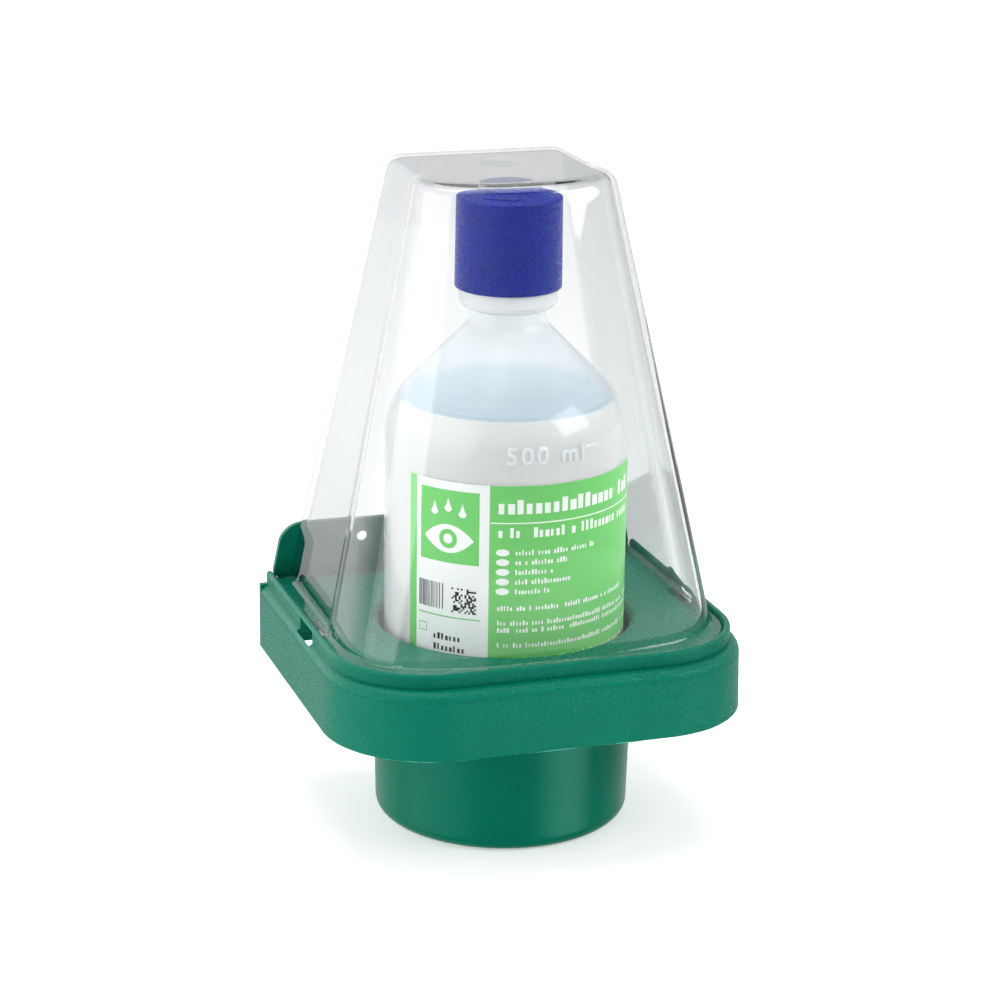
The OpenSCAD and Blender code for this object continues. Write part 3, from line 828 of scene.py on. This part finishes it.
def block_tree():
    """Node tree that sets rows of small blocks: a seeded stand-in for printed words, never letters."""
    tree, given = new_tree("printed blocks", {
        "Columns": "Int", "Rows": "Int", "Pitch": "Float", "Row Pitch": "Float", "Width": "Float",
        "Narrowest": "Float", "Height": "Float", "Shortest": "Float", "Gaps": "Float", "Ink": "Float",
        "Seed": "Int", "Material": "Material"})
    index = add_node(tree, "GeometryNodeInputIndex").outputs["Index"]

    def maths(operation, a, b):
        return add_node(tree, "ShaderNodeMath", {0: a, 1: b}, operation=operation).outputs["Value"]

    def chance(low, high, shift):
        """A random number between low and high for each block, from a seed of its own."""
        return add_node(tree, "FunctionNodeRandomValue", {
            2: low, 3: high, "ID": index, "Seed": maths("ADD", given["Seed"], shift)},
            data_type="FLOAT").outputs[1]

    count = maths("MULTIPLY", given["Columns"], given["Rows"])
    points = add_node(tree, "GeometryNodePoints", {"Count": count})
    column = maths("MODULO", index, given["Columns"])
    row = maths("FLOOR", maths("DIVIDE", index, given["Columns"]), 0.0)
    place = add_node(tree, "ShaderNodeCombineXYZ", {
        "X": maths("MULTIPLY", column, given["Pitch"]), "Z": maths("MULTIPLY", row, given["Row Pitch"])})
    set_out = add_node(tree, "GeometryNodeSetPosition", {
        "Geometry": points.outputs[0], "Position": place.outputs["Vector"]})
    is_gap = add_node(tree, "FunctionNodeCompare", {
        0: chance(0.0, 1.0, 0), 1: given["Gaps"]}, operation="LESS_THAN", data_type="FLOAT")
    kept = add_node(tree, "GeometryNodeDeleteGeometry", {
        "Geometry": set_out.outputs["Geometry"], "Selection": is_gap.outputs["Result"]}, domain="POINT")
    block = add_node(tree, "GeometryNodeMeshCube", {"Size": (1, 1, 1), "Vertices X": 3})
    seated = add_node(tree, "GeometryNodeTransform", {
        "Geometry": block.outputs["Mesh"], "Translation": (0.5, -0.5, 0.5)})
    is_tall = maths("GREATER_THAN", chance(0.0, 1.0, 23), 0.68)
    extra = maths("MULTIPLY", maths("SUBTRACT", 1.0, given["Shortest"]), is_tall)
    size = add_node(tree, "ShaderNodeCombineXYZ", {
        "X": maths("MULTIPLY", given["Width"], chance(given["Narrowest"], 1.0, 11)), "Y": given["Ink"],
        "Z": maths("MULTIPLY", given["Height"], maths("ADD", given["Shortest"], extra))})
    copies = add_node(tree, "GeometryNodeInstanceOnPoints", {
        "Points": kept.outputs["Geometry"], "Instance": seated.outputs["Geometry"],
        "Scale": size.outputs["Vector"]})
    end_tree(tree, copies.outputs["Instances"], given["Material"])
    return tree


blocks = block_tree()


def print_rows(name, left, low, columns, pitch, width, height, material, lift, rows=1, row_pitch=0.0,
               narrowest=0.55, shortest=0.7, gaps=0.16, seed=1):
    """Rows of blocks printed on the label from that left and lower corner, in millimetres."""
    piece = bake_tree(name, blocks, {
        "Columns": columns, "Rows": rows, "Pitch": pitch * MM, "Row Pitch": row_pitch * MM,
        "Width": width * MM, "Narrowest": narrowest, "Height": height * MM, "Shortest": shortest,
        "Gaps": gaps, "Ink": ink * MM, "Seed": seed, "Material": material})
    for vertex in piece.data.vertices:
        vertex.co.x += left * MM
        vertex.co.y -= lift * MM
        vertex.co.z += low * MM
    wrap(piece, bottle_r)
    return label_piece(piece, material)


text_left = -21.3 * deg
print_rows("label_title", text_left, 107.0, 19, 2.75, 2.2, 4.4, white_ink, on_green, seed=4, gaps=0.1,
           narrowest=0.7, shortest=0.72)
print_rows("label_subtitle", text_left, 99.7, 30, 1.75, 1.35, 3.1, white_ink, on_green, seed=9)
for k, letters in enumerate((27, 17, 12, 20, 14)):
    z = 95.1 - 3.03 * k
    edge = round_edge(1.05)
    shape(f"label_oval_{k + 1}", -19.2 * deg, 2.0, lambda a: z - edge(a), lambda a: z + edge(a),
          on_green, white_ink)
    print_rows(f"label_line_{k + 1}", -8.6, z - 0.8, letters, 0.98, 0.72, 1.6, white_ink, on_green,
               seed=20 + k)
for k, (z, letters) in enumerate(((77.0, 50), (72.4, 62), (70.1, 60), (65.4, 64), (60.6, 60), (58.2, 62))):
    print_rows(f"label_paragraph_{k + 1}", text_left, z, letters, 0.95, 0.7, 1.5, white_ink, on_green,
               seed=40 + k)
print_rows("label_stock_stripes", -61.2 * deg, 75.6, 18, 0.5, 0.36, 8.2, black_ink, on_film,
           narrowest=0.3, shortest=1.0, gaps=0.08, seed=3)
print_rows("label_stock_dots", -43.2 * deg, 75.2, 13, 0.6, 0.6, 0.6, black_ink, on_film, rows=13,
           row_pitch=0.6, narrowest=1.0, shortest=1.0, gaps=0.5, seed=7)
print_rows("label_batch_line", -52.5 * deg, 66.0, 7, 1.35, 0.95, 2.0, black_ink, on_film, seed=12, gaps=0.0)
print_rows("label_date_line", -52.5 * deg, 62.6, 8, 1.35, 0.95, 2.0, black_ink, on_film, seed=15, gaps=0.1)
label_piece(patch("label_batch_box", -61 * deg, -56.5 * deg, 67.6, 70.4, on_film, ink), green_ink)
label_piece(patch("label_batch_box_middle", -60.6 * deg, -56.9 * deg, 67.9, 70.1, on_green, ink), white_film)


# ---- Break-off seal --------------------------------------------------------------------------
# A moulded plug over the outlet in the same natural plastic, thick enough to look white.
# Turning the cap breaks it off, and it leaves with the cap.

dress("break_off_seal", thick_plastic)


# ---- Cap -------------------------------------------------------------------------------------
# Moulded in blue polypropylene with a fine grain. The top rises to a lens with a raised edge,
# and two raised arrows show the way it turns.

cap_r = 16.15
cap_z = cap_lo.z / MM
cap_side_h = 27.3
cap_draft = 0.25
cap_roof_t = 3.6
cap_edge = cap_z + cap_side_h
cap_top = cap_hi.z / MM
cap_top_r = cap_r - cap_draft
cap_bore = finish_r + thread_depth + 0.3
socket_r = 4.9
bore_top = cap_edge - cap_roof_t
seal_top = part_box("break_off_seal")[1].z / MM
lens_r = 9.8
lens_z = cap_edge + 2.3
slope = (lens_z - cap_edge - 0.25) / (cap_top_r - 0.6 - lens_r)


def dome_z(r):
    """Height of the cap's sloping top at that radius."""
    return cap_edge + 0.25 + slope * (cap_top_r - 0.6 - r)


profile = [(0, seal_top + 0.3), (socket_r, seal_top + 0.3), (socket_r, bore_top), (cap_bore, bore_top),
           (cap_bore, cap_z + 0.4), (cap_bore + 0.4, cap_z)]
profile += arc(cap_r - 0.3, cap_z + 0.3, 0.3, -90, 0, 5)
profile += [(mix(cap_r, cap_top_r, k / 6), mix(cap_z, cap_edge, k / 6)) for k in range(1, 6)]
profile += arc(cap_top_r - 0.6, cap_edge - 0.45, 0.6, 0, 75, 6)
profile += [(r, dome_z(r)) for r in (mix(cap_top_r - 1.2, lens_r + 0.3, k / 5) for k in range(6))]
profile += arc(lens_r - 0.25, lens_z + 0.25, 0.3, 0, 90, 4)
lens_rise = cap_top - lens_z - 0.55
profile += [(r, cap_top - lens_rise * (r / lens_r) ** 2) for r in (8.8, 7.5, 6, 4.5, 3, 1.5, 0)]
cap = lathe("cap_moulding", profile)


def grained_blue():
    """Blue polypropylene with a fine leathery grain, which breaks the soft boxes into points, and painted
    glints that brighten the colour in its glossy pits.
    """
    material, tree, surface = new_material("grained blue polypropylene")
    place = add_node(tree, "ShaderNodeTexCoord").outputs["Object"]
    pits = noise(tree, place, 0.75, Roughness=0.5)
    # Up to 1.3 times brighter colour in the glossy pits is painted glint.
    value = add_node(tree, "ShaderNodeMath", {
        0: ramp(tree, noise(tree, place, 12), 0.3, 0.7, 0.92, 1.08),
        1: ramp(tree, pits, 0.38, 0.66, 0.86, 1.3)}, operation="MULTIPLY")
    tint = add_node(tree, "ShaderNodeHueSaturation", {
        "Color": linear("#001C80"), "Value": value.outputs["Value"]})
    shader = add_node(tree, "ShaderNodeBsdfPrincipled", {
        "Base Color": tint.outputs["Color"], "Roughness": ramp(tree, pits, 0.38, 0.66, 0.48, 0.14),
        "IOR": 1.49, "Specular Tint": linear("#B9C4F2"), "Normal": relief(tree, pits, 0.34)})
    tree.links.new(shader.outputs["BSDF"], surface.inputs["Surface"])
    return material


blue_plastic = grained_blue()
cap.data.materials.append(blue_plastic)
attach(cap, "cap")
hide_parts("screw_cap")


def turn_arrow(name, start):
    """A raised arrow on the cap's sloping top, from that angle in degrees, turning anticlockwise."""
    arrow_r, sweep, steps = 12.6, 52, 14
    shaft_share, shaft_half_w, head_half_w = 0.72, 0.55, 1.5
    top, foot = 0.3, -0.2
    rings = []
    for k in range(steps + 1):
        share = k / steps
        angle = math.radians(start + sweep * share)
        half_w = shaft_half_w
        if share >= shaft_share:
            half_w = head_half_w * (1 - share) / (1 - shaft_share) + 0.02
        near, far = arrow_r - half_w, arrow_r + half_w
        rings.append([(r * math.cos(angle), r * math.sin(angle), dome_z(r) + z)
                      for r, z in ((near, foot), (near, top), (far, top), (far, foot))])
    piece = loft(name, rings)
    piece.data.materials.append(blue_plastic)
    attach(piece, "cap")


turn_arrow("cap_arrow_front", 215)
turn_arrow("cap_arrow_back", 35)
